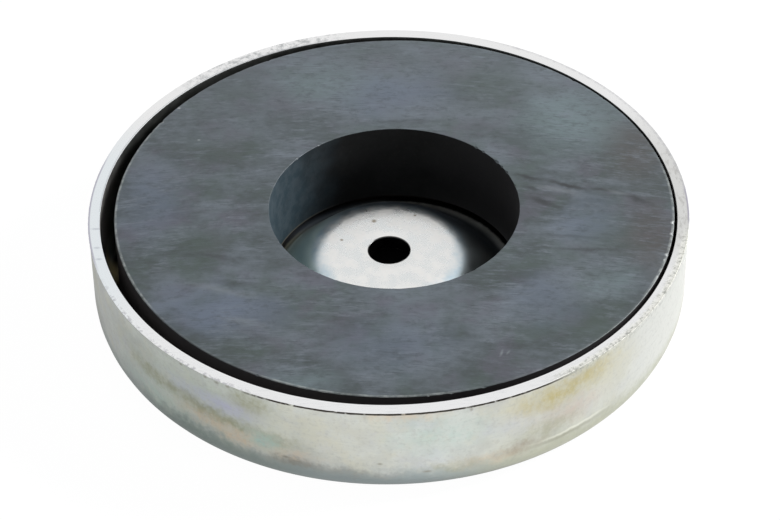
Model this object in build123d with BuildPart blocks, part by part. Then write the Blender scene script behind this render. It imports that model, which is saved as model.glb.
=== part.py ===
"""Round pot magnet: a ferrite ring bonded into a shallow drawn steel cup.

Millimetres. The origin is the middle of the flat underside of the cup, and
+Z points to the open, working side. The cup's axis is Z.
"""

import os
from math import atan2, cos, degrees, radians, sin, tan

from build123d import *

os.makedirs("parts", exist_ok=True)

# Driving dimensions of the drawn cup
cup_diameter = 80.0  # over the trimmed lip
cup_height = 15.0  # underside to rim
sheet = 2.0  # thickness of the steel in the floor and the boss
wall_sheet = 1.5  # thickness of the wall, thinned as it is drawn
lip_overhang = 0.1  # how far the trimmed lip stands proud of the wall
lip_height = 0.7  # depth of the lip, down from the rim
rim_break = 0.15  # small round on both edges of the rim
corner_radius = 3.0  # inside radius between the floor and the wall

# Driving dimensions of the boss in the middle of the floor
boss_rise = 5.6  # floor to the flat top of the boss
boss_slope_run = 5.5  # width of the sloping side, seen from above
boss_shoulder_radius = 3.0  # inside radius where the top turns down
boss_foot_radius = 1.8  # inside radius where the side meets the floor
screw_hole_diameter = 5.5  # clearance hole for an M5 screw
hole_break = 0.2  # small round on the punched edge of the hole

# Driving dimensions of the ring magnet
bore_diameter = 33.5  # hole through the ring
wall_gap = 1.1  # mean gap between the ring and the wall of the cup
closest_gap = 0.21  # gap where the ring lies nearest to the wall
lie_angle = 32.0  # direction in which the ring lies off centre, degrees from +X
boss_gap = 0.75  # mean gap between the bore and the foot of the boss
face_recess = 0.2  # ring face below the rim
edge_break = 0.12  # small bevel on the edges of the working face

# Driving dimensions of the glue
glue_thickness = 1.0  # bed between the floor and the ring
glue_margin = 1.0  # how far the bed stops short of the ring's edges

# Sizes that follow from them
wall_outer_radius = cup_diameter / 2 - lip_overhang
wall_inner_radius = wall_outer_radius - wall_sheet
outer_corner_radius = corner_radius + wall_sheet
hole_radius = screw_hole_diameter / 2
bore_radius = bore_diameter / 2
boss_foot = bore_radius - boss_gap
boss_top = boss_foot - boss_slope_run
boss_angle = degrees(atan2(boss_rise, boss_slope_run))
ring_radius = wall_inner_radius - wall_gap
ring_shift = wall_gap - closest_gap
ring_x = ring_shift * cos(radians(lie_angle))
ring_y = ring_shift * sin(radians(lie_angle))
ring_base = sheet + glue_thickness
ring_face = cup_height - face_recess
ring_bevel = corner_radius - glue_thickness

# The boss's slope is offset by the sheet's thickness, so its corners on the
# underside lie this much further in than those on the upper side.
slope_shift = sheet * tan(radians(boss_angle / 2))

# Cup: half of its section, turned round the axis
with BuildPart() as cup:
    with BuildSketch(Plane.XZ):
        with BuildLine():
            upper_floor = FilletPolyline(
                (0, sheet + boss_rise),
                (boss_top, sheet + boss_rise),
                (boss_foot, sheet),
                (wall_inner_radius, sheet),
                (wall_inner_radius, cup_height),
                radius=[
                    boss_shoulder_radius + sheet,
                    boss_foot_radius,
                    corner_radius,
                ],
            )
            underside = FilletPolyline(
                (0, boss_rise),
                (boss_top - slope_shift, boss_rise),
                (boss_foot - slope_shift, 0),
                (wall_outer_radius, 0),
                (wall_outer_radius, cup_height),
                radius=[
                    boss_shoulder_radius,
                    boss_foot_radius + sheet,
                    outer_corner_radius,
                ],
            )
            Line(upper_floor @ 0, underside @ 0)
            Line(upper_floor @ 1, underside @ 1)
        make_face()
    revolve(axis=Axis.Z)

    # Trimmed lip, pressed outwards by the die
    with BuildSketch(Plane.XZ):
        with BuildLine():
            Polyline(
                (wall_outer_radius - wall_sheet / 2, cup_height),
                (cup_diameter / 2, cup_height),
                (cup_diameter / 2, cup_height - lip_height / 2),
                (wall_outer_radius, cup_height - lip_height),
                (wall_outer_radius - wall_sheet / 2, cup_height - lip_height),
                close=True,
            )
        make_face()
    revolve(axis=Axis.Z)
    rim_face = cup.faces().filter_by(Axis.Z).sort_by(Axis.Z)[-1]
    fillet(rim_face.edges(), radius=rim_break)

    # Screw hole, punched through the boss from below
    with Locations((0, 0, sheet + boss_rise)):
        Hole(radius=hole_radius)
    boss_top_face = (
        cup.faces()
        .filter_by(Axis.Z)
        .filter_by(lambda face: abs(face.center().Z - sheet - boss_rise) < edge_break)[0]
    )
    hole_edge = boss_top_face.edges().sort_by(SortBy.RADIUS)[0]
    fillet(hole_edge, radius=hole_break)
cup.part.label = "cup"
export_step(cup.part, "parts/cup.step")

# Ring magnet: pressed blank, ground on its working face
with BuildPart() as ring_magnet:
    with BuildSketch(Plane.XY.offset(ring_base)):
        with Locations((ring_x, ring_y)):
            Circle(ring_radius)
            Circle(bore_radius, mode=Mode.SUBTRACT)
    extrude(amount=ring_face - ring_base)
    working_face = ring_magnet.faces().filter_by(Axis.Z).sort_by(Axis.Z)[-1]
    chamfer(working_face.edges(), length=edge_break)
    bonded_face = ring_magnet.faces().filter_by(Axis.Z).sort_by(Axis.Z)[0]
    foot_edge = bonded_face.edges().sort_by(SortBy.RADIUS)[-1]
    chamfer(foot_edge, length=ring_bevel)
ring_magnet.part.label = "ring_magnet"
export_step(ring_magnet.part, "parts/ring_magnet.step")

# Glue bed between the floor of the cup and the ring
with BuildPart() as glue_film:
    with BuildSketch(Plane.XY.offset(sheet)):
        with Locations((ring_x, ring_y)):
            Circle(ring_radius - ring_bevel - glue_margin)
            Circle(bore_radius + glue_margin, mode=Mode.SUBTRACT)
    extrude(amount=glue_thickness)
glue_film.part.label = "glue_film"
export_step(glue_film.part, "parts/glue_film.step")
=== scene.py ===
from functools import reduce
from math import atan2, cos, degrees, pi, radians, sin, tan

import bpy
from mathutils import Matrix, Vector, noise


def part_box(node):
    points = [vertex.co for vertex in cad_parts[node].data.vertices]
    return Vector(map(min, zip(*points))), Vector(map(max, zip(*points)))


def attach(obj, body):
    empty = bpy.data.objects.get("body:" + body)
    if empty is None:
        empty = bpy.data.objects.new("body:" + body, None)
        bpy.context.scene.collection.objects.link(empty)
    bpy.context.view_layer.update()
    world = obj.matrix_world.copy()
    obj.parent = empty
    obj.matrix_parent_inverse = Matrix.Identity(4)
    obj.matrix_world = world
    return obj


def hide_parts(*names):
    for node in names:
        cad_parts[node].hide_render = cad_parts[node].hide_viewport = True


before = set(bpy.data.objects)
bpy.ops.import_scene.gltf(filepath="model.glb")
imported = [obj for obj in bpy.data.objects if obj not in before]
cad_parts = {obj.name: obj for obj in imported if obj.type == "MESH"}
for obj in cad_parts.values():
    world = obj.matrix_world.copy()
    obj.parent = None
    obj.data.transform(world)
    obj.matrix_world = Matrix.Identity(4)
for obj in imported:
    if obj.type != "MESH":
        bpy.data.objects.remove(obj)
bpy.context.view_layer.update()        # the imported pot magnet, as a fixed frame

# Lengths of the object are written in millimetres, and MM turns them into metres.
MM = 0.001


# ---------------------------------------------------------------- sizes from the frame

def mm_box(node):
    """Lowest and highest corner of a CAD node, in millimetres."""
    low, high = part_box(node)
    return Vector(low) / MM, Vector(high) / MM


cup_high = mm_box("cup")[1]
ring_low, ring_high = mm_box("ring_magnet")
glue_low, glue_high = mm_box("glue_film")

rim_radius = cup_high.x
cup_height = cup_high.z
floor_sheet = glue_low.z
ring_centre = (ring_low + ring_high) / 2
ring_radius = (ring_high.x - ring_low.x) / 2
ring_base = ring_low.z
ring_face = ring_high.z
glue_radius = (glue_high.x - glue_low.x) / 2

# Sizes of the drawn cup and the ring that their boxes don't give
wall_sheet = 1.5
lip_overhang = 0.1
corner_radius = 3.0
boss_rise = 5.6
boss_slope_run = 5.5
boss_foot = 16.0
boss_shoulder_radius = 3.0
boss_foot_radius = 1.8
hole_radius = 2.75
bore_radius = 16.75
ring_bevel = 2.0
glue_bore_radius = 17.75

wall_outer = rim_radius - lip_overhang
wall_inner = wall_outer - wall_sheet
contact_radius = wall_outer - corner_radius - wall_sheet      # of the flat underside
boss_top = boss_foot - boss_slope_run
boss_height = floor_sheet + boss_rise
slope_shift = floor_sheet * tan(atan2(boss_rise, boss_slope_run) / 2)


# ---------------------------------------------------------------- sections and turned meshes

ARC_STEP = 10.0          # degrees between points round a corner
SMALL_RADIUS = 0.5       # corners up to this radius get points twice as far apart
SMOOTH_ANGLE = 35.0      # faces that meet at less than this many degrees are shaded as one


def rounded(corners, run_step=0.0):
    """Turns corners (r, z, radius) into points, with each corner rounded by an arc.

    run_step is the longest straight run between points, or 0 for no limit.
    """
    points = []

    def run_to(point):
        if points and run_step:
            last = points[-1]
            length = (point - last).length
            parts = max(1, int(length / run_step + 0.5))
            for i in range(1, parts):
                points.append(last.lerp(point, i / parts))
        points.append(point)

    for i, (r, z, radius) in enumerate(corners):
        corner = Vector((r, z))
        if radius == 0 or i in (0, len(corners) - 1):
            run_to(corner)
            continue
        back = (Vector(corners[i - 1][:2]) - corner).normalized()
        ahead = (Vector(corners[i + 1][:2]) - corner).normalized()
        half = back.angle(ahead) / 2
        reach = radius / tan(half)
        centre = corner + (back + ahead).normalized() * radius / sin(half)
        start = corner + back * reach
        end = corner + ahead * reach
        first = atan2(start.y - centre.y, start.x - centre.x)
        turn = atan2(end.y - centre.y, end.x - centre.x) - first
        turn = (turn + pi) % (2 * pi) - pi
        arc_step = ARC_STEP if radius > SMALL_RADIUS else 2 * ARC_STEP
        steps = max(2, round(abs(degrees(turn)) / arc_step))
        for k in range(steps + 1):
            a = first + turn * k / steps
            point = centre + Vector((cos(a), sin(a))) * radius
            if k == 0:
                run_to(point)
            else:
                points.append(point)
    return points


def turned(name, section, segments, centre=(0.0, 0.0), move=None):
    """A closed section (r, z) turned round the upright line through centre.

    move shifts each point: move(r, z, angle) -> (r, z).
    """
    verts = []
    for s in range(segments):
        angle = 2 * pi * s / segments
        c, d = cos(angle), sin(angle)
        for point in section:
            r, z = point
            if move:
                r, z = move(r, z, angle)
            verts.append(((centre[0] + r * c) * MM, (centre[1] + r * d) * MM, z * MM))
    count = len(section)
    faces = []
    for s in range(segments):
        here = s * count
        there = (s + 1) % segments * count
        for i in range(count):
            j = (i + 1) % count
            faces.append((here + i, here + j, there + j, there + i))
    mesh = bpy.data.meshes.new(name)
    mesh.from_pydata(verts, [], faces)
    mesh.validate()
    mesh.update()
    piece = bpy.data.objects.new(name, mesh)
    bpy.context.scene.collection.objects.link(piece)
    bpy.context.view_layer.objects.active = piece
    piece.select_set(True)
    bpy.ops.object.shade_smooth_by_angle(angle=radians(SMOOTH_ANGLE))
    piece.select_set(False)
    return piece


def grain(x, y, z, size, octaves=3):
    """Smooth noise from about -1 to 1, with features about size millimetres wide."""
    return noise.fractal(Vector((x, y, z)) / size, 0.9, 2.0, octaves)


# ---------------------------------------------------------------- cup

BURR_DEPTH = 0.10        # the burr's height, down from the rim
NOTCH_DEPTH = 0.14       # how far the wall is pinched in under the burr
NOTCH_HEIGHT = 0.42      # from the burr's underside to the plain wall
NOTCH_SPAN = (-118, -52)       # where it is notched, in degrees from +X
TORN_SPAN = (-56, -14)         # where the burr is torn away
RIM_BREAK = 0.10         # round on the rim's inner edge
RIM_ROUND = 0.06         # and on its outer edge
HOLE_ROUND = 0.25        # round on the screw hole's upper edge
HOLE_BREAK = 0.12        # and on its lower edge
CUP_STEP = 2.0           # longest straight run in the section
CUP_SEGMENTS = 900

# How far the faults go, in millimetres
RIM_DIPS = 0.006
LIP_DIPS = 0.015
BURR_WEAR = 0.05
BURR_TEAR = 0.09
WALL_WAVES = 0.03


def cup_section():
    """The sheet's section, once round from the wall of the screw hole."""
    burr_base = cup_height - BURR_DEPTH
    across_rim = [(wall_inner + 0.5 + 0.3 * k, cup_height, 0) for k in range(4)]      # so that it can dip
    upper = rounded([
        (hole_radius, boss_height - 0.6, 0),
        (hole_radius, boss_height, HOLE_ROUND),
        (boss_top, boss_height, boss_shoulder_radius + floor_sheet),
        (boss_foot, floor_sheet, boss_foot_radius),
        (wall_inner, floor_sheet, corner_radius),
        (wall_inner, cup_height, RIM_BREAK),
        *across_rim,
        (rim_radius, cup_height, RIM_ROUND),
        (rim_radius, burr_base, 0),
        (wall_outer - NOTCH_DEPTH, burr_base - 0.05, 0),
    ], run_step=CUP_STEP)
    under = rounded([
        (wall_outer - NOTCH_DEPTH, burr_base - 0.22, 0),
        (wall_outer, burr_base - NOTCH_HEIGHT, 0.15),
        (wall_outer, 0, corner_radius + wall_sheet),
        (boss_foot - slope_shift, 0, boss_foot_radius + floor_sheet),
        (boss_top - slope_shift, boss_rise, boss_shoulder_radius),
        (hole_radius, boss_rise, HOLE_BREAK),
        (hole_radius, boss_rise + 0.5, 0),
    ], run_step=CUP_STEP)
    return upper + under


def between(value, low, high, soft):
    """1 inside low to high, falling to 0 over soft on either side."""
    return max(0.0, min(1.0, (value - low) / soft + 0.5, (high - value) / soft + 0.5))


def cup_move(r, z, angle):
    """Small faults of the drawn sheet: a burr over a ragged notch, a torn stretch and a wavy wall."""
    x, y = r * cos(angle), r * sin(angle)
    turn = (degrees(angle) + 180) % 360 - 180
    if z > cup_height - BURR_DEPTH - NOTCH_HEIGHT and r > wall_outer - 0.9:
        rough = 0.5 + 0.5 * grain(x, y, 0.0, 0.55)
        notched = between(turn, *NOTCH_SPAN, 14)
        torn = between(turn, *TORN_SPAN, 8)
        if z > cup_height - 0.02:
            z -= RIM_DIPS * rough
        elif r < wall_outer - 0.02:
            ragged = max(0.15, notched * (0.55 + 0.8 * rough)) * (1 - torn)
            r = wall_outer - (wall_outer - r) * min(1.0, ragged)
        if r > wall_outer + 0.02:
            r -= BURR_WEAR * rough * (1 - torn) + BURR_TEAR * torn
    elif r > wall_inner - 0.01 and z > cup_height - 0.08:
        z -= LIP_DIPS * (0.5 + 0.5 * grain(x, y, 9.0, 1.6))
    elif r > wall_outer - 0.5 and z > 0.5:
        fade = min(1.0, (cup_height - z) / 2.0, z / 2.0)
        r += WALL_WAVES * fade * (grain(x, y, z, 9.0, 2) - 0.6)
    return r, z


cup = turned("drawn_cup", cup_section(), CUP_SEGMENTS, move=cup_move)
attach(cup, "root")
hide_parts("cup")


# ---------------------------------------------------------------- ring magnet

EDGE_BREAK = 0.08        # plain bevel on the outer edge of the ground face
BORE_BREAK = 0.03        # and on the edge of the bore
RING_STEP = 2.5          # longest straight run in the section
RING_SEGMENTS = 900
RING_WAVES = 0.02        # how uneven the pressed walls are

# Chips in the edge of the ground face: angle from +X in degrees, width and depth.
OUTER_CHIPS = [
    (-6.6, 0.30, 0.30), (-10.1, 0.26, 0.26), (-16.9, 0.35, 0.24), (-18.6, 0.40, 0.30),
    (-24.0, 0.2, 0.12), (149.1, 0.35, 0.24), (153.0, 0.25, 0.15), (118.0, 0.25, 0.14),
    (171.0, 0.3, 0.12), (-118.0, 0.25, 0.14), (-73.0, 0.3, 0.15), (-79.5, 0.25, 0.14),
    (-84.0, 0.2, 0.12), (47.0, 0.3, 0.14), (38.0, 0.25, 0.12),
]
BORE_CHIPS = [
    (47.6, 0.30, 0.20), (43.0, 0.25, 0.14), (33.3, 0.5, 0.24), (29.0, 0.3, 0.16), (24.4, 0.4, 0.2),
    (14.0, 0.25, 0.12), (127.0, 0.25, 0.1), (141.0, 0.3, 0.12), (205.0, 0.25, 0.1), (-52.0, 0.3, 0.12),
]


def chip_depth(angle, radius, chips):
    """How deep the edge is broken away at this angle."""
    deepest = 0.0
    for place, width, depth in chips:
        away = (degrees(angle) - place + 180) % 360 - 180
        along = abs(radians(away)) * radius / width
        if along < 1:
            deepest = max(deepest, depth * (1 - along * along))
    return deepest


def ring_section():
    """The ring's section, once round from the foot of the bore."""
    return rounded([
        (bore_radius, ring_base, 0),
        (bore_radius, ring_face - BORE_BREAK, 0),
        (bore_radius + BORE_BREAK * 0.5, ring_face - BORE_BREAK * 0.45, 0),
        (bore_radius + BORE_BREAK, ring_face, 0),
        (bore_radius + 1.0, ring_face, 0),
        (ring_radius - 1.0, ring_face, 0),
        (ring_radius - EDGE_BREAK, ring_face, 0),
        (ring_radius - EDGE_BREAK * 0.5, ring_face - EDGE_BREAK * 0.45, 0),
        (ring_radius, ring_face - EDGE_BREAK, 0),
        (ring_radius, ring_base + ring_bevel, 0),
        (ring_radius - ring_bevel, ring_base, 0),
    ], run_step=RING_STEP)


# The face's two edges: radius, the way from it to the face, chips, and depth and place of the finer ones.
RING_EDGES = [(bore_radius, 1, BORE_CHIPS, 0.05, 1.0), (ring_radius, -1, OUTER_CHIPS, 0.06, 5.0)]


def ring_move(r, z, angle):
    """Breaks the edges of the ground face, and makes the pressed walls a little uneven."""
    x, y = r * cos(angle), r * sin(angle)
    if z > ring_face - 0.3:
        for radius, side, chips, fine, layer in RING_EDGES:
            across = (r - radius) * side
            if across > 0.4:
                continue
            chip = chip_depth(angle, radius, chips) + fine * max(0.0, grain(x, y, layer, 0.7))
            if z > ring_face - 0.01:
                r += side * chip
            elif across > 0.01:
                r += side * 0.55 * chip
                z -= 0.45 * chip
            else:
                z -= 0.9 * chip
            break
    elif z > ring_base + 0.1:
        r += RING_WAVES * grain(x, y, z, 3.0)
    return r, z


ring = turned("ferrite_ring", ring_section(), RING_SEGMENTS, centre=ring_centre.xy, move=ring_move)
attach(ring, "root")
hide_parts("ring_magnet")


# ---------------------------------------------------------------- glue

GLUE_SEGMENTS = 240
GLUE_WAVES = 0.5         # how far the film's outer edge swings either way, inside its CAD radius


def glue_move(r, z, angle):
    """The film's outer edge runs unevenly."""
    if r > (bore_radius + glue_radius) / 2:
        x, y = r * cos(angle), r * sin(angle)
        r += GLUE_WAVES * (grain(x, y, 2.0, 4.0) - 1.0)
    return r, z


glue_section = rounded([
    (glue_bore_radius, floor_sheet, 0),
    (glue_bore_radius, ring_base, 0),
    (glue_radius, ring_base, 0),
    (glue_radius, floor_sheet, 0),
])
glue = turned("bond_line", glue_section, GLUE_SEGMENTS, centre=ring_centre.xy, move=glue_move)
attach(glue, "root")
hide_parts("glue_film")


# ---------------------------------------------------------------- materials

class Shader:
    """A material's node tree, with short calls for the nodes that this script uses."""

    def __init__(self, name):
        self.material = bpy.data.materials.new(name)
        self.material.use_nodes = True
        self.tree = self.material.node_tree
        self.nodes = self.tree.nodes
        self.nodes.clear()
        self.shader = self.nodes.new("ShaderNodeBsdfPrincipled")
        output = self.nodes.new("ShaderNodeOutputMaterial")
        self.link(self.shader.outputs[0], output.inputs["Surface"])
        where = self.nodes.new("ShaderNodeTexCoord").outputs["Object"]
        scaled = self.nodes.new("ShaderNodeVectorMath")
        scaled.operation = "SCALE"
        scaled.inputs["Scale"].default_value = 1 / MM
        self.link(where, scaled.inputs[0])
        self.place = scaled.outputs[0]          # object coordinates in millimetres
        split = self.nodes.new("ShaderNodeSeparateXYZ")
        self.link(self.place, split.inputs[0])
        self.x, self.y, self.z = split.outputs
        self.reach = self.distance(0.0, 0.0)

    def link(self, source, target):
        """Links a node's output to a socket, or sets the socket to a plain value."""
        if hasattr(source, "is_output"):
            self.tree.links.new(source, target)
        else:
            target.default_value = source

    def math(self, operation, a, b=0.0):
        node = self.nodes.new("ShaderNodeMath")
        node.operation = operation
        self.link(a, node.inputs[0])
        self.link(b, node.inputs[1])
        return node.outputs[0]

    def plus(self, a, b):
        return self.math("ADD", a, b)

    def minus(self, a, b):
        return self.math("SUBTRACT", a, b)

    def times(self, *values):
        return reduce(lambda one, other: self.math("MULTIPLY", one, other), values)

    def most(self, *values):
        return reduce(lambda one, other: self.math("MAXIMUM", one, other), values)

    def distance(self, x, y):
        """Distance from the upright line through (x, y)."""
        dx = self.minus(self.x, x)
        dy = self.minus(self.y, y)
        return self.math("SQRT", self.plus(self.times(dx, dx), self.times(dy, dy)))

    def angle(self):
        """Angle about Z in degrees from +X."""
        return self.times(self.math("ARCTAN2", self.y, self.x), degrees(1))

    def band(self, value, low, high, soft):
        """1 between low and high, falling to 0 over soft on either side."""
        return self.times(self.step(value, low - soft, low), self.step(value, high + soft, high))

    def drift(self, value, size, amount, shift=0.0):
        """value, shifted to and fro by up to about half the amount."""
        wander = self.minus(self.noise(size, detail=5.0, shift=shift), 0.5)
        return self.plus(value, self.times(wander, amount))

    def combine(self, x, y, z):
        node = self.nodes.new("ShaderNodeCombineXYZ")
        for value, target in zip((x, y, z), node.inputs):
            self.link(value, target)
        return node.outputs[0]

    def noise(self, size, vector=None, detail=3.0, roughness=0.55, stretch=(1, 1, 1), shift=0.0):
        """Noise from 0 to 1 with features about size millimetres wide, longer where stretch is over 1."""
        mapping = self.nodes.new("ShaderNodeMapping")
        mapping.inputs["Scale"].default_value = [1 / (size * s) for s in stretch]
        mapping.inputs["Location"].default_value = (shift, shift * 0.7, shift * 1.3)
        self.link(vector or self.place, mapping.inputs["Vector"])
        node = self.nodes.new("ShaderNodeTexNoise")
        node.inputs["Scale"].default_value = 1.0
        node.inputs["Detail"].default_value = detail
        node.inputs["Roughness"].default_value = roughness
        self.link(mapping.outputs[0], node.inputs["Vector"])
        return node.outputs["Fac"]

    def step(self, value, low, high, smooth=True, out=(0.0, 1.0)):
        """Goes from out[0] at low to out[1] at high."""
        node = self.nodes.new("ShaderNodeMapRange")
        node.interpolation_type = "SMOOTHSTEP" if smooth else "LINEAR"
        self.link(value, node.inputs["Value"])
        self.link(low, node.inputs["From Min"])
        self.link(high, node.inputs["From Max"])
        node.inputs["To Min"].default_value = out[0]
        node.inputs["To Max"].default_value = out[1]
        return node.outputs["Result"]

    def fade(self, value, start, end):
        """Goes evenly from start, where value is 0, to end, where it is 1."""
        return self.step(value, 0.0, 1.0, smooth=False, out=(start, end))

    def mix(self, factor, a, b):
        """From colour a to colour b. A list of factors counts as their product."""
        node = self.nodes.new("ShaderNodeMix")
        node.data_type = "RGBA"
        if isinstance(factor, list):
            factor = self.times(*factor)
        self.link(factor, node.inputs["Factor"])
        for colour, socket in ((a, node.inputs[6]), (b, node.inputs[7])):
            if isinstance(colour, tuple):
                colour = (*colour, 1.0)
            self.link(colour, socket)
        return node.outputs[2]

    def spot(self, u, v, at, size):
        """1 at a place in (u, v), falling to 0 at size away."""
        du = self.times(self.minus(u, at[0]), 1 / size[0])
        dv = self.times(self.minus(v, at[1]), 1 / size[1])
        total = self.plus(self.times(du, du), self.times(dv, dv))
        return self.step(self.math("SQRT", total), 1.0, 0.0)

    def stroke(self, start, end, width):
        """1 along a slightly wavering line between two places, falling to 0 at its ends and at width."""
        along = Vector(end) - Vector(start)
        middle = (Vector(end) + Vector(start)) / 2
        half = along.length / 2
        along.normalize()
        dx = self.minus(self.x, middle.x)
        dy = self.minus(self.y, middle.y)
        far = self.plus(self.times(dx, along.x), self.times(dy, along.y))
        off = self.minus(self.times(dy, along.x), self.times(dx, along.y))
        return self.spot(far, self.drift(off, 2.0, width * 2), (0.0, 0.0), (half, width))

    def bump(self, layers):
        """Layers are (height 0 to 1, depth in millimetres)."""
        normal = None
        for height, depth in layers:
            node = self.nodes.new("ShaderNodeBump")
            node.inputs["Distance"].default_value = depth * MM
            node.inputs["Strength"].default_value = 1.0
            self.link(height, node.inputs["Height"])
            if normal:
                self.link(normal, node.inputs["Normal"])
            normal = node.outputs[0]
        self.link(normal, self.shader.inputs["Normal"])

    def paint(self, **sockets):
        """Sets sockets of the shader. Each _ in a name stands for a space."""
        for name, value in sockets.items():
            target = self.shader.inputs[name.replace("_", " ")]
            if isinstance(value, tuple):
                value = (*value, 1.0)
            self.link(value, target)


# Colours of the plating and of the stains where it ran and dried
ZINC = (0.735, 0.76, 0.72)
STRAW = (0.74, 0.70, 0.50)
GOLD = (0.55, 0.47, 0.20)
OLIVE = (0.42, 0.43, 0.29)
BROWN = (0.34, 0.26, 0.18)
PEACH = (0.80, 0.64, 0.46)
PINK = (0.66, 0.54, 0.48)
VIOLET = (0.64, 0.66, 0.80)
TEAL = (0.54, 0.72, 0.66)
BEIGE = (0.79, 0.77, 0.63)
GREY = (0.47, 0.50, 0.49)

# Stains on the cup's wall: angle from +X in degrees, height in mm, half width, half height, strength, colour.
WALL_STAINS = [
    (-130, 10.5, 34, 7.5, 0.65, (0.67, 0.765, 0.64)), (-138, 9.3, 15, 2.0, 0.80, OLIVE),
    (-127, 8.9, 12, 1.9, 0.90, OLIVE), (-119, 8.5, 12, 1.8, 0.90, OLIVE), (-111, 7.9, 9, 1.8, 0.75, OLIVE),
    (-127, 7.2, 12, 2.1, 0.75, PEACH), (-118, 6.7, 9, 2.0, 0.80, PEACH), (-129, 10.9, 12, 2.5, 0.60, VIOLET),
    (-121, 11.0, 10, 2.5, 1.00, VIOLET), (-117, 13.2, 7, 3.0, 0.90, OLIVE), (-114, 7.4, 6, 2.3, 1.00, TEAL),
    (-140, 6.0, 20, 3.2, 0.45, TEAL), (-146, 12.0, 14, 3.4, 0.35, GREY), (-108, 6.2, 8, 1.5, 0.60, PEACH),
    (-108, 4.8, 9, 1.5, 0.75, BROWN), (-104, 11.0, 22, 6.0, 0.50, BEIGE), (-96, 6.5, 14, 3.0, 0.35, BEIGE),
    (-88, 14.3, 12, 1.4, 0.60, PEACH), (-81, 10.6, 15, 5.0, 0.45, TEAL), (-66, 10.3, 11, 3.0, 0.35, VIOLET),
    (-64, 12.4, 12, 3.5, 0.60, STRAW), (-59, 11.9, 11, 3.6, 0.80, GOLD), (-51, 12.8, 11, 2.8, 0.75, GOLD),
    (-44, 11.0, 12, 4.5, 0.35, STRAW), (-55, 8.2, 12, 3.2, 0.60, PINK), (-61, 6.9, 11, 2.8, 0.60, OLIVE),
    (-66, 5.5, 8, 1.6, 0.60, BROWN), (-74, 4.7, 12, 1.8, 0.60, PEACH), (-79, 4.6, 7, 1.9, 0.65, OLIVE),
    (-98, 4.3, 14, 1.4, 0.50, BROWN), (-128, 4.4, 20, 2.2, 0.80, (0.27, 0.35, 0.31)),
]
# Faint stains on the back and the underside: size, shift and limits of the noise, strength, colour.
BACK_STAINS = [(11.0, 91.0, 0.45, 0.72, 0.40, STRAW), (8.0, 103.0, 0.50, 0.75, 0.30, OLIVE)]
# Dark specks on the wall: angle, height, half width in degrees, half height.
WALL_SPECKS = [
    (-92.2, 6.2, 0.8, 0.3), (-83.7, 4.6, 1.3, 0.3), (-109.5, 5.5, 1.1, 0.3), (-125.7, 14.6, 0.6, 0.35),
    (-123.2, 14.5, 0.8, 0.35), (-120.8, 14.6, 0.7, 0.35), (-131.5, 14.5, 0.6, 0.3), (-75.6, 14.2, 0.5, 0.5),
]
RIM_MARKS = [(-38.77, -3.6, 1.0), (-38.4, -7.5, 0.7), (-38.0, -9.8, 0.7)]      # x, y, half length
BOSS_SPECKS = [(-2.0, 6.1, 0.55), (-6.4, 2.2, 0.35), (3.6, 7.2, 0.3)]      # x, y, size

# Clouds on the ring's face: (x, y), half sizes, strength, colour.
CLOUD_BLUE = (0.142, 0.175, 0.235)
CLOUD_CYAN = (0.172, 0.228, 0.242)
CLOUD_GREEN = (0.055, 0.080, 0.066)
CLOUD_BROWN = (0.078, 0.070, 0.068)
FACE_PATCHES = [
    ((25, 18), (14, 10), 0.85, CLOUD_CYAN), ((1, 25), (12, 8), 0.65, CLOUD_BLUE),
    ((14, 27), (9, 6), 0.5, CLOUD_GREEN), ((33, 12), (8, 11), 0.75, CLOUD_BROWN),
    ((34, -7), (6, 13), 0.75, CLOUD_BROWN), ((29, -5), (6, 9), 0.5, CLOUD_GREEN),
    ((26, -3), (7, 6), 0.6, CLOUD_BLUE), ((29, -16), (5, 5), 0.6, CLOUD_CYAN),
    ((26, -24), (8, 8), 0.75, CLOUD_GREEN), ((20, -18), (8, 8), 0.5, CLOUD_BLUE),
    ((-22, -20), (13, 8), 0.95, CLOUD_BLUE), ((-25, -7), (7, 5), 0.75, CLOUD_GREEN),
    ((-18, -28), (8, 5), 0.6, CLOUD_GREEN), ((-11, -34), (6, 3.5), 0.7, CLOUD_CYAN),
    ((1, -27), (12, 8), 0.5, CLOUD_BLUE), ((-32, 2), (7, 12), 0.6, CLOUD_BLUE),
    ((-23, 13), (10, 6), 0.5, CLOUD_GREEN), ((-9, 28), (12, 7), 0.6, CLOUD_CYAN),
]

# Pale chips in the ring's face: x, y, size, brightness.
FACE_CHIPS = [
    (37.75, -3.8, 0.60, 0.9), (37.4, -6.1, 0.55, 0.8), (36.3, -10.3, 0.50, 0.5),
    (-31.2, 19.5, 0.45, 0.7), (-25.86, 15.38, 0.35, 0.25), (-28.9, 22.6, 0.35, 0.5),
]
# Scratches: from (x, y) to (x, y), half width, strength.
SCRATCH_DARK = (0.026, 0.030, 0.033)
SCRATCH_LIGHT = (0.26, 0.29, 0.31)
DARK_SCRATCHES = [
    ((15.5, 7.2), (22.0, 5.3), 0.8, 0.9), ((20.0, 6.1), (28.5, 2.3), 0.8, 1.0),
    ((25.5, 3.9), (32.0, 2.8), 0.6, 0.8), ((30.0, 3.2), (36.0, -0.5), 0.8, 0.8),
    ((17.0, 2.9), (24.0, -0.8), 0.9, 0.9), ((17.5, 4.6), (21.0, 3.0), 0.6, 0.7),
    ((18.0, -8.5), (35.0, -9.5), 0.5, 0.55), ((17.0, -5.5), (30.0, -7.0), 0.5, 0.4),
    ((-30.0, -8.0), (-17.0, -10.5), 0.8, 0.4), ((-26.0, -14.0), (-14.0, -15.5), 0.8, 0.4),
    ((-8.0, 18.5), (12.0, 19.0), 0.8, 0.4),
]
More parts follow.
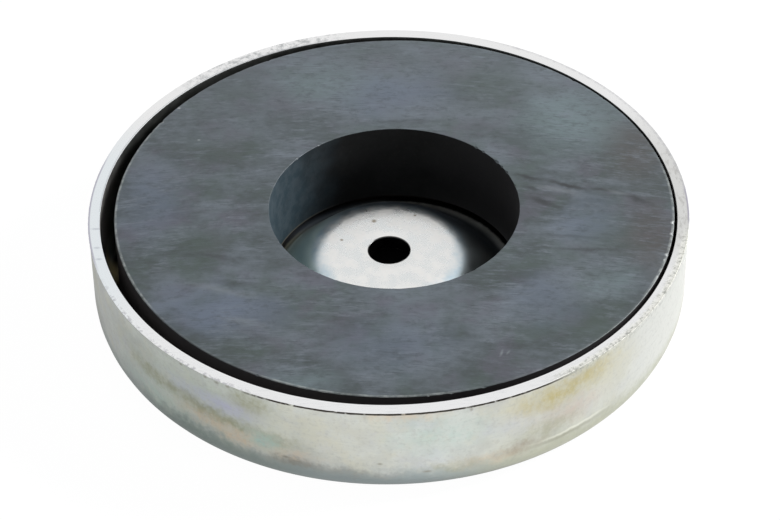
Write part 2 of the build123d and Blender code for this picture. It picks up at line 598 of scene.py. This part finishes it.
LIGHT_SCRATCHES = [
    ((13.6, -29.9), (14.4, -28.0), 0.25, 0.55), ((14.4, -29.5), (15.3, -28.3), 0.25, 0.45),
    ((-28.0, -14.0), (-16.0, -17.8), 1.1, 0.35), ((-24.0, -21.0), (-14.0, -23.5), 1.2, 0.30),
    ((18.0, 5.0), (27.0, 2.0), 0.7, 0.35), ((28.0, 3.9), (33.5, 1.6), 0.6, 0.3),
]


DULL_SPECULAR = 0.25     # specular level of the pressed ferrite and the glue


def torn_grain(m):
    """The grain of the torn edge, which runs on from the rim into the wall."""
    return m.noise(0.55, detail=5.0, roughness=0.7, shift=29.0)


def wall_material():
    """Zinc plating on the outside of the cup: pale metal, with straw, pink and green stains."""
    m = Shader("zinc_wall")
    angle = m.angle()
    around = m.times(angle, radians(1) * wall_outer)     # millimetres along the wall
    along = m.combine(around, 0.0, m.z)
    u = m.drift(m.drift(angle, 3.2, 9.0), 0.6, 4.0, shift=7.0)
    v = m.drift(m.drift(m.z, 2.8, 2.8, shift=13.0), 0.6, 1.5, shift=19.0)
    blotch = m.step(m.noise(1.6, detail=6.0, roughness=0.7, shift=47.0), 0.36, 0.60, out=(0.45, 1.0))

    # Plain plating, clouded all over, a little whiter on the right as painted light from the lamp's side, and
    # yellower at the front right.
    cloud = m.noise(5.0, detail=5.0, roughness=0.65)
    darker, lighter = (tuple(c * level for c in ZINC) for level in (0.90, 1.06))
    colour = m.mix(m.step(cloud, 0.36, 0.64), darker, lighter)
    beige = m.noise(3.6, detail=5.0, shift=57.0)
    colour = m.mix(m.step(beige, 0.48, 0.68, out=(0.0, 0.40)), colour, BEIGE)
    violet = m.noise(2.8, detail=5.0, shift=81.0)
    colour = m.mix(m.step(violet, 0.50, 0.70, out=(0.0, 0.18)), colour, VIOLET)
    colour = m.mix(m.band(angle, -28.0, -8.0, 24.0), colour, (0.775, 0.785, 0.75))
    colour = m.mix([m.band(angle, -68.0, -46.0, 12.0), 0.3], colour, (0.62, 0.60, 0.48))

    on_wall = m.step(m.reach, contact_radius - 8.0, contact_radius)
    elsewhere = m.minus(1.0, m.times(m.band(angle, -150.0, -20.0, 20.0), on_wall))
    for size, shift, low, high, strength, stain in BACK_STAINS:
        faint = m.step(m.noise(size, detail=5.0, shift=shift), low, high)
        colour = m.mix([elsewhere, faint, strength], colour, stain)
    above_base = m.step(m.reach, contact_radius - 1.5, contact_radius + 2.0)
    for place, height, width, tall, strength, stain in WALL_STAINS:
        spot = m.spot(u, v, (place, height), (width, tall))
        colour = m.mix([above_base, spot, strength, blotch], colour, stain)

    # The corner below the wall is painted duller and darker, a painted shade: blue-grey in front, olive to
    # the right, darkest at the base.
    corner_shade = m.mix(m.step(angle, -86.0, -62.0), (0.36, 0.43, 0.44), (0.52, 0.53, 0.40))
    corner_shade = m.mix(m.band(angle, -136.0, -116.0, 14.0), corner_shade, (0.29, 0.36, 0.34))
    corner_shade = m.mix(m.step(angle, -138.0, -152.0), corner_shade, (0.46, 0.53, 0.51))
    colour = m.mix([above_base, m.step(v, 6.2, 3.0, out=(0.0, 0.80))], colour, corner_shade)
    colour = m.mix([above_base, m.step(m.z, 2.4, 0.9, out=(0.0, 0.6))], colour, (0.20, 0.24, 0.22))

    # Fine drawing marks run round the wall, and short upright ones cross the golden stain.
    brushed = m.noise(0.5, vector=along, detail=4.0, roughness=0.7, stretch=(6, 1, 1))
    colour = m.mix(m.step(brushed, 0.50, 0.72, out=(0.0, 0.22)), colour, GREY)
    upright = m.noise(0.7, vector=along, detail=5.0, roughness=0.75, stretch=(1, 1, 3), shift=17.0)
    golden = m.spot(angle, m.z, (-57.0, 12.0), (13.0, 3.8))
    colour = m.mix([golden, m.step(upright, 0.44, 0.70, out=(0.0, 0.35))], colour, BEIGE)
    pits = m.noise(0.5, detail=3.0, shift=37.0)
    colour = m.mix(m.step(pits, 0.50, 0.72, out=(0.0, 0.18)), colour, (0.38, 0.38, 0.34))
    for place, height, width, tall in WALL_SPECKS:
        speck = m.spot(angle, m.z, (place, height), (width, tall))
        colour = m.mix([speck, 0.6], colour, (0.28, 0.25, 0.19))

    # A light scratch with a dark side lies low on the right.
    level = m.drift(m.z, 1.6, 0.7)
    colour = m.mix([m.spot(angle, level, (-56.0, 4.7), (13.0, 0.5)), 0.55], colour, (0.36, 0.35, 0.26))
    colour = m.mix([m.spot(angle, level, (-54.0, 5.15), (12.0, 0.35)), 0.75], colour, (0.92, 0.92, 0.82))

    # A painted shadow fills the notch under the burr in front. Further right, specks lie where the edge is
    # torn.
    front = m.band(angle, -112.0, -62.0, 10.0)
    ragged = m.step(m.noise(0.9, detail=4.0, shift=5.0), 0.28, 0.46)
    notch_shadow = m.band(m.drift(m.z, 1.0, 0.14), cup_height - 0.46, cup_height - 0.15, 0.08)
    colour = m.mix([notch_shadow, front, ragged], colour, (0.060, 0.052, 0.044))
    torn = m.band(angle, -54.0, -16.0, 8.0)
    specks = m.step(torn_grain(m), 0.48, 0.68, out=(0.0, 0.6))
    near_rim = m.step(m.z, cup_height - 1.3, cup_height - 0.3)
    colour = m.mix([near_rim, torn, specks], colour, (0.28, 0.29, 0.25))

    m.bump([
        (m.noise(0.5, detail=3.0), 0.010),
        (m.noise(2.5, detail=3.0), 0.05),
        (brushed, 0.006),
    ])
    gloss = m.step(cloud, 0.3, 0.7, smooth=False, out=(0.30, 0.42))
    m.paint(Base_Color=colour, Metallic=1.0, Roughness=gloss)
    return m.material


def rim_material():
    """The rim, ground together with the ring: bright, with fine marks along X, and torn on the right."""
    m = Shader("zinc_rim")
    angle = m.angle()
    marks = m.noise(0.35, detail=4.0, roughness=0.7, stretch=(6, 1, 1), shift=3.0)
    colour = m.mix(m.step(marks, 0.50, 0.72, out=(0.0, 0.30)), (0.99, 0.995, 1.0), (0.76, 0.77, 0.80))
    # On the left the rim is painted bluish white, a painted reflection.
    colour = m.mix(m.step(m.x, -30.0, -38.0), colour, (0.92, 0.97, 1.0))
    for x, y, length in RIM_MARKS:
        colour = m.mix([m.spot(m.x, m.y, (x, y), (length, 0.35)), 0.45], colour, (0.40, 0.42, 0.50))
    dull = m.band(angle, -8.0, 34.0, 14.0)
    colour = m.mix([dull, 0.75], colour, (0.76, 0.76, 0.74))
    streaks = m.noise(0.7, detail=5.0, roughness=0.7, stretch=(1, 3, 1), shift=53.0)
    colour = m.mix([dull, m.step(streaks, 0.48, 0.66), 0.5], colour, (0.46, 0.45, 0.43))
    # At the back it is painted plain white, a painted highlight.
    colour = m.mix(m.step(m.y, 8.0, 24.0), colour, (1.0, 1.0, 1.0))

    # At the back left it is nicked and mottled.
    nicks = m.step(m.noise(1.1, detail=6.0, roughness=0.7, shift=65.0), 0.44, 0.64)
    colour = m.mix([nicks, m.band(angle, 106.0, 130.0, 10.0), 0.7], colour, (0.42, 0.44, 0.45))

    # Its outer edge is worn grey at the left front, and faintly lined at both sides.
    outer = m.step(m.drift(m.reach, 0.7, 0.5), rim_radius - 0.60, rim_radius - 0.15)
    grey = m.step(m.noise(0.7, detail=4.0, shift=15.0), 0.44, 0.62)
    colour = m.mix([outer, grey, m.band(angle, -152.0, -122.0, 10.0), 0.7], colour, (0.50, 0.50, 0.53))
    right = m.band(angle, 4.0, 62.0, 10.0)
    colour = m.mix([outer, m.fade(grey, 0.4, 1.0), right, 0.45], colour, (0.50, 0.49, 0.54))
    line = m.step(m.reach, rim_radius - 0.35, rim_radius - 0.15)
    sides = m.most(m.step(m.math("ABSOLUTE", angle), 160.0, 168.0), m.band(angle, -4.0, 3.0, 4.0))
    colour = m.mix([line, sides, 0.8], colour, (0.46, 0.44, 0.53))

    # On the right it is torn: a grainy edge that runs into the wall, painted greyer, partly the torn metal's
    # own grey and partly painted shade over the lamp's glint.
    torn = m.band(angle, -54.0, -12.0, 8.0)
    edge = m.step(m.drift(m.reach, 0.8, 0.9), rim_radius - 1.2, rim_radius - 0.5)
    colour = m.mix([edge, torn], colour, (0.69, 0.69, 0.66))
    outermost = m.step(m.reach, rim_radius - 0.4, rim_radius - 0.2)
    colour = m.mix([outermost, torn], colour, (0.62, 0.62, 0.58))
    specks = m.step(torn_grain(m), 0.46, 0.64, out=(0.0, 0.7))
    colour = m.mix([edge, torn, specks], colour, (0.25, 0.26, 0.24))

    # The broken inner edge is painted dark at the back left, where it faces the lamp: a painted shade over
    # its glint.
    inner = m.step(m.reach, wall_inner + 0.22, wall_inner + 0.10)
    inner_edge_shade = m.times(inner, m.band(angle, 112.0, 176.0, 14.0))
    colour = m.mix([inner_edge_shade, 0.8], colour, (0.36, 0.37, 0.38))
    matt = m.most(inner_edge_shade, m.times(edge, torn))
    m.bump([(m.noise(0.5, detail=3.0), 0.010), (marks, 0.006)])
    m.paint(Base_Color=colour, Metallic=1.0, Roughness=m.fade(matt, 0.24, 0.72))
    return m.material


def inside_material():
    """Zinc plating on the boss, the floor and the inner wall: brightest, as a painted highlight, and mottled,
    on the boss's crown, with painted shade in the hollows.
    """
    m = Shader("zinc_inside")
    cloud = m.noise(5.0, detail=4.0)
    colour = m.mix(m.step(cloud, 0.38, 0.62), (0.68, 0.71, 0.67), (0.78, 0.79, 0.75))
    mottle = m.noise(1.8, detail=5.0, roughness=0.6)
    # The crown is painted brighter, a painted highlight, mottled, and fades to a painted blue-grey shade at
    # its shoulder.
    crown = m.mix(m.step(mottle, 0.34, 0.64), (0.88, 0.905, 0.905), (0.985, 0.98, 0.96))
    edge = m.step(m.drift(m.reach, 1.6, 3.0), 8.2, 11.2)
    crown = m.mix(edge, crown, (0.50, 0.66, 0.76))
    on_boss = m.step(m.reach, boss_foot - 0.5, boss_top - 0.5)
    on_top = m.step(m.z, boss_rise - 1.0, boss_rise + 0.2)
    colour = m.mix([on_boss, on_top], colour, crown)

    # The floor is painted a dark brown-grey along the boss's foot on the left, and painted near black, a
    # painted shade, right under the ring.
    away = m.distance(ring_centre.x, ring_centre.y)
    low = m.step(m.z, floor_sheet + 1.8, floor_sheet + 1.0)
    by_foot = m.step(m.drift(away, 1.2, 1.2), 13.4, 15.9)
    brown_grey_mark = m.times(low, by_foot, m.step(m.x, 3.0, -6.0))
    colour = m.mix([brown_grey_mark, 0.9], colour, (0.165, 0.165, 0.115))
    under_ring_shade = m.step(m.drift(away, 0.8, 0.4), 16.35, 16.85)
    colour = m.mix([low, under_ring_shade], colour, (0.012, 0.011, 0.010))

    # The boss's slope is greenish on the left, painted darker on the right and painted darkest at the back,
    # as painted shade.
    slope = m.band(m.reach, 11.0, 14.5, 1.2)
    colour = m.mix([slope, m.step(m.x, -4.0, -11.0), 0.8], colour, (0.68, 0.80, 0.74))
    colour = m.mix([slope, m.step(m.x, 3.0, 10.0), 0.8], colour, (0.38, 0.41, 0.41))
    back = m.step(m.plus(m.y, m.times(m.x, 0.3)), 3.0, 10.0)
    colour = m.mix([m.band(m.reach, 10.6, 15.9, 1.9), back, 0.93], colour, (0.09, 0.11, 0.14))
    for x, y, size in BOSS_SPECKS:
        colour = m.mix([m.spot(m.x, m.y, (x, y), (size, size)), on_top], colour, (0.34, 0.29, 0.22))

    # The inner wall is painted darker as shade, more so at the back. The bottom of the trough is painted a
    # bright amber on the left.
    dull = m.mix(m.step(m.y, 2.0, 16.0), (0.52, 0.50, 0.48), (0.20, 0.21, 0.20))
    on_wall = m.step(m.reach, wall_inner - 0.5, wall_inner - 0.1)
    colour = m.mix([on_wall, m.step(m.z, 5.0, 8.0)], colour, dull)
    amber = m.times(m.spot(m.x, m.y, (-37.7, 1.6), (1.8, 2.8)), m.step(m.z, 7.0, 5.0))
    colour = m.mix(amber, colour, (1.0, 0.86, 0.50))

    # The punched wall of the hole is dull, and painted dark as shade inside the hole.
    hole_wall_shade = m.step(m.reach, hole_radius + 0.22, hole_radius + 0.10)
    colour = m.mix(hole_wall_shade, colour, (0.05, 0.05, 0.05))
    m.bump([(m.noise(0.5, detail=3.0), 0.008)])
    duller = m.step(m.reach, boss_top - 2.5, boss_top + 1.0, out=(0.0, 0.14))
    gloss = m.step(mottle, 0.3, 0.7, smooth=False, out=(0.22, 0.34))
    bare = m.step(m.most(amber, brown_grey_mark), 0.0, 0.6, out=(1.0, 0.0))
    m.paint(Base_Color=colour, Metallic=bare, Roughness=m.plus(duller, gloss))
    return m.material


def ground_ferrite_material():
    """The ring's ground face: blue-grey, clouded, with fine grinding marks that run nearly along X."""
    m = Shader("ground_ferrite")
    bend = m.plus(m.times(m.x, m.x, 0.0022), m.times(m.x, 0.05))
    lines = m.combine(m.x, m.plus(m.y, bend), m.z)      # follows the marks, which are slightly curved

    # It is clouded all over, with some clouds at set places.
    clouds = m.noise(9.0, detail=6.0, roughness=0.66, stretch=(1.5, 1, 1))
    green = m.noise(7.0, detail=5.0, roughness=0.6, shift=20.0)
    violet = m.noise(6.0, detail=5.0, roughness=0.6, shift=41.0)
    colour = m.mix(m.step(clouds, 0.36, 0.64), (0.058, 0.074, 0.077), (0.143, 0.170, 0.196))
    colour = m.mix(m.step(green, 0.48, 0.66, out=(0.0, 0.65)), colour, (0.072, 0.100, 0.092))
    colour = m.mix(m.step(violet, 0.48, 0.68, out=(0.0, 0.60)), colour, (0.112, 0.108, 0.140))
    # Towards the back the face is painted lighter, a painted sheen.
    colour = m.mix(m.step(m.y, 4.0, 30.0, out=(0.0, 0.40)), colour, (0.150, 0.176, 0.196))
    u = m.plus(m.x, m.times(m.minus(clouds, 0.5), 12.0))
    v = m.plus(m.y, m.times(m.minus(green, 0.5), 12.0))
    for place, size, strength, patch in FACE_PATCHES:
        colour = m.mix([m.spot(u, v, place, size), strength], colour, patch)

    # Grinding marks run along the curved lines, with dirt and scratches over them.
    streaks = m.noise(0.8, vector=lines, detail=6.0, roughness=0.75, stretch=(4.5, 1, 1))
    fine = m.noise(0.22, vector=lines, detail=2.0, stretch=(9, 1, 1), shift=9.0)
    dirt = m.noise(1.2, detail=6.0, roughness=0.75, stretch=(1.6, 1, 1), shift=5.0)
    worn = m.step(m.noise(6.0, detail=3.0, shift=77.0), 0.40, 0.62, out=(0.35, 1.0))
    colour = m.mix([m.step(streaks, 0.46, 0.68, out=(0.0, 0.60)), worn], colour, (0.205, 0.236, 0.275))
    colour = m.mix([m.step(fine, 0.50, 0.74, out=(0.0, 0.50)), worn], colour, (0.034, 0.040, 0.045))
    colour = m.mix(m.step(dirt, 0.48, 0.70, out=(0.0, 0.45)), colour, (0.044, 0.053, 0.056))
    for scratches, shade in ((DARK_SCRATCHES, SCRATCH_DARK), (LIGHT_SCRATCHES, SCRATCH_LIGHT)):
        for start, end, width, strength in scratches:
            colour = m.mix([m.stroke(start, end, width), strength], colour, shade)

    # A painted highlight runs as a light, broken line along parts of the outer edge, with brighter chips.
    away = m.distance(ring_centre.x, ring_centre.y)
    angle = m.angle()
    edge = m.step(away, ring_radius - 0.42, ring_radius - 0.20)
    left = m.step(m.math("ABSOLUTE", angle), 145.0, 152.0)
    edge_highlight_zones = m.most(m.band(angle, -112.0, -84.0, 10.0), m.band(angle, -22.0, 8.0, 10.0), left)
    broken = m.step(m.noise(0.9, detail=4.0, shift=11.0), 0.38, 0.66, out=(0.20, 0.75))
    colour = m.mix([edge, broken, m.fade(edge_highlight_zones, 0.15, 1.0)], colour, (0.40, 0.43, 0.42))
    for x, y, size, bright in FACE_CHIPS:
        chip = m.spot(m.x, m.y, (x, y), (size, size * 0.8))
        colour = m.mix([chip, bright], colour, (0.75, 0.78, 0.78))

    m.bump([
        (streaks, 0.022),
        (m.noise(0.35, detail=4.0), 0.012),
    ])
    gloss = m.step(streaks, 0.2, 0.8, smooth=False, out=(0.42, 0.60))
    m.paint(Base_Color=colour, Roughness=gloss)
    return m.material


def pressed_ferrite_material():
    """The ring's pressed walls: near black, partly the ferrite's own dark grey and partly painted shade, matt
    and a little grainy, with painted light in paler blue on the bore's left side.
    """
    m = Shader("pressed_ferrite")
    cloud = m.noise(5.0, detail=4.0)
    # In the bore it is painted near black, darker than the ferrite itself, as shade, and a little lighter on
    # the right as painted light.
    colour = m.mix(m.step(cloud, 0.35, 0.68), (0.007, 0.007, 0.007), (0.015, 0.015, 0.015))
    right = m.step(m.x, 4.0, 14.0, out=(0.0, 0.9))
    colour = m.mix(right, colour, (0.024, 0.023, 0.024))
    in_bore = m.step(m.reach, bore_radius + 3.0, bore_radius + 2.0)
    colour = m.mix(in_bore, (0.030, 0.028, 0.030), colour)
    left = m.step(m.drift(m.x, 5.0, 9.0, shift=3.0), -5.0, -14.5)
    mottle = m.noise(1.6, detail=4.0)
    left_bore_light = m.mix(m.step(mottle, 0.35, 0.65), (0.026, 0.045, 0.058), (0.046, 0.066, 0.080))
    colour = m.mix([left, in_bore], colour, left_bore_light)
    brown_grey_mark = m.noise(0.6, detail=3.0)
    colour = m.mix(m.step(brown_grey_mark, 0.50, 0.8, out=(0.0, 0.12)), colour, (0.06, 0.055, 0.05))
    # A light line along the bore's foot on the left is a painted highlight of its lower edge.
    foot = m.step(m.z, ring_base + 0.35, ring_base + 0.10)
    colour = m.mix([foot, left, in_bore], colour, (0.12, 0.115, 0.095))
    m.bump([(m.noise(0.4, detail=4.0), 0.02)])
    m.paint(Base_Color=colour, Roughness=0.62, Specular_IOR_Level=DULL_SPECULAR)
    return m.material


def glue_material():
    """Cured glue, painted near black as shade in the crevice, a little brown in places."""
    m = Shader("cured_glue")
    colour = m.mix(m.noise(2.0), (0.005, 0.004, 0.003), (0.022, 0.016, 0.009))
    m.paint(Base_Color=colour, Roughness=0.5, Specular_IOR_Level=DULL_SPECULAR)
    return m.material


INSIDE, WALL, RIM = range(3)          # material slots of the cup
GROUND, PRESSED = range(2)            # and of the ring

for material in (inside_material(), wall_material(), rim_material()):
    cup.data.materials.append(material)
for polygon in cup.data.polygons:
    middle, normal = polygon.center / MM, polygon.normal
    reach = middle.xy.length
    outwards = normal.xy.dot(middle.xy) > 0.5 * reach
    if middle.z > cup_height - BURR_DEPTH and reach > wall_inner - 0.2:
        polygon.material_index = RIM
    elif outwards and reach > contact_radius or normal.z < -0.3:
        polygon.material_index = WALL
    else:
        polygon.material_index = INSIDE
for material in (ground_ferrite_material(), pressed_ferrite_material()):
    ring.data.materials.append(material)
for polygon in ring.data.polygons:
    polygon.material_index = PRESSED if polygon.center.z < (ring_face - 0.25) * MM else GROUND
glue.data.materials.append(glue_material())


# ---------------------------------------------------------------- camera

# The camera looks along +Y and down at the rim. It stands a little turned about its own axis.
CAMERA_ELEVATION = radians(40.43)
CAMERA_DISTANCE = 399.8 * MM
CAMERA_AIM = Vector((0.1, -10.82, cup_height)) * MM
CAMERA_ROLL = radians(-0.83)
CAMERA_LENS = 141.3      # on Blender's 36 mm wide sensor


def add_camera():
    back = Vector((0, -cos(CAMERA_ELEVATION), sin(CAMERA_ELEVATION)))
    side = Vector((1, 0, 0))
    up = back.cross(side)
    turn = Matrix((side, up, back)).transposed() @ Matrix.Rotation(CAMERA_ROLL, 3, "Z")
    camera = bpy.data.objects.new("camera", bpy.data.cameras.new("camera"))
    bpy.context.scene.collection.objects.link(camera)
    camera.matrix_world = Matrix.Translation(CAMERA_AIM + back * CAMERA_DISTANCE) @ turn.to_4x4()
    camera.data.lens = CAMERA_LENS
    camera.data.sensor_width = 36.0
    camera.data.clip_start = 0.01
    bpy.context.scene.camera = camera


add_camera()


# ---------------------------------------------------------------- floor, light and background

FLOOR_SIZE = 3.0              # metres
FLOOR_WHITE = (0.88, 0.88, 0.88)
FLOOR_SHADE = (0.05, 0.05, 0.05)
UNDER_CUP_SHADE = (0.10, 0.10, 0.10)
FLOOR_STRENGTH = 1.06         # of the floor's own glow
FLOOR_GLOW = 0.92             # how much of the floor's white is its own, as the camera sees it
FLOOR_GLOW_IN_METAL = 0.47    # and as it shows in reflections
ROOM_IN_METAL = 0.8           # the white room's strength in reflections; the camera sees it at 1
ROOM_COLOUR = (0.95, 0.97, 1.0, 1)
ROOM_STRENGTH = 0.28          # the room's light on matt surfaces

KEY_PLACE = (0.52, 0.14, 0.34)      # metres
KEY_SIZE = 0.24                     # metres each way
KEY_WATTS = 4.5


def reflected_shade(m):
    """How bright the floor shows in reflections: darker near the cup and to the left, away from the lamp."""
    side = m.math("DIVIDE", m.minus(m.x, m.times(m.y, 0.35)), m.reach)
    side = m.step(side, -0.9, 1.0, smooth=False)
    foot = m.fade(side, 0.58, 0.97)
    out = m.step(m.reach, contact_radius + 2.0, contact_radius + 18.0)
    near = m.plus(foot, m.times(out, m.minus(1.0, foot)))
    return m.times(near, m.step(side, 0.0, 0.7, out=(0.88, 1.06)))


def add_floor():
    """A white floor that keeps a faint shadow, and has no glow under the cup, where it is painted dark grey
    as shade. In reflections it is painted darker near the cup and to the left, a painted shadow.
    """
    mesh = bpy.data.meshes.new("floor")
    h = FLOOR_SIZE / 2
    mesh.from_pydata([(-h, -h, 0), (h, -h, 0), (h, h, 0), (-h, h, 0)], [], [(0, 1, 2, 3)])
    floor = bpy.data.objects.new("floor", mesh)
    bpy.context.scene.collection.objects.link(floor)

    m = Shader("floor_white")
    path = m.nodes.new("ShaderNodeLightPath").outputs
    open_floor = m.step(m.reach, contact_radius, contact_radius + 1.5)
    shade = reflected_shade(m)
    seen = m.plus(m.times(path["Is Camera Ray"], FLOOR_GLOW),
                  m.times(path["Is Glossy Ray"], m.times(shade, FLOOR_GLOW_IN_METAL)))
    # In reflections the floor's colour is painted darker by reflected_shade, a painted shadow.
    white = m.mix([path["Is Glossy Ray"], m.minus(1.0, shade)], FLOOR_WHITE, FLOOR_SHADE)
    m.paint(Base_Color=m.mix(open_floor, UNDER_CUP_SHADE, white), Roughness=1.0, Specular_IOR_Level=0.0)

    glow = m.nodes.new("ShaderNodeEmission")
    glow.inputs["Strength"].default_value = FLOOR_STRENGTH
    mixed = m.nodes.new("ShaderNodeMixShader")
    m.link(m.times(open_floor, seen), mixed.inputs[0])
    m.link(m.shader.outputs[0], mixed.inputs[1])
    m.link(glow.outputs[0], mixed.inputs[2])
    m.link(mixed.outputs[0], m.nodes["Material Output"].inputs["Surface"])
    mesh.materials.append(m.material)


def add_key_light():
    """One square, soft lamp, to the right of the object and aimed at its middle."""
    data = bpy.data.lights.new("key", "AREA")
    data.shape = "SQUARE"
    data.size = KEY_SIZE
    data.energy = KEY_WATTS
    lamp = bpy.data.objects.new("key", data)
    bpy.context.scene.collection.objects.link(lamp)
    lamp.location = KEY_PLACE
    lamp.rotation_euler = Vector(KEY_PLACE).to_track_quat("Z", "Y").to_euler()


def add_world():
    """A white room: plain white to the camera, a little less in reflections, and dim as fill light."""
    world = bpy.data.worlds.new("studio")
    bpy.context.scene.world = world
    world.use_nodes = True
    tree = world.node_tree
    tree.nodes.clear()

    def add(kind, **inputs):
        node = tree.nodes.new(kind)
        for name, value in inputs.items():
            node.inputs[name].default_value = value
        return node

    def link(source, target):
        tree.links.new(source, target)

    path = add("ShaderNodeLightPath").outputs
    fill = add("ShaderNodeBackground", Color=ROOM_COLOUR, Strength=ROOM_STRENGTH)
    white = add("ShaderNodeBackground", Color=(1, 1, 1, 1))
    level = add("ShaderNodeMath")
    level.operation = "MULTIPLY_ADD"
    link(path["Is Camera Ray"], level.inputs[0])
    level.inputs[1].default_value = 1.0 - ROOM_IN_METAL
    level.inputs[2].default_value = ROOM_IN_METAL
    link(level.outputs[0], white.inputs["Strength"])
    seen = add("ShaderNodeMath")
    seen.operation = "MAXIMUM"
    link(path["Is Camera Ray"], seen.inputs[0])
    link(path["Is Glossy Ray"], seen.inputs[1])
    mixed = add("ShaderNodeMixShader")
    link(seen.outputs[0], mixed.inputs[0])
    link(fill.outputs[0], mixed.inputs[1])
    link(white.outputs[0], mixed.inputs[2])
    link(mixed.outputs[0], add("ShaderNodeOutputWorld").inputs["Surface"])


add_floor()
add_world()
add_key_light()

bpy.context.scene.view_settings.view_transform = "Standard"
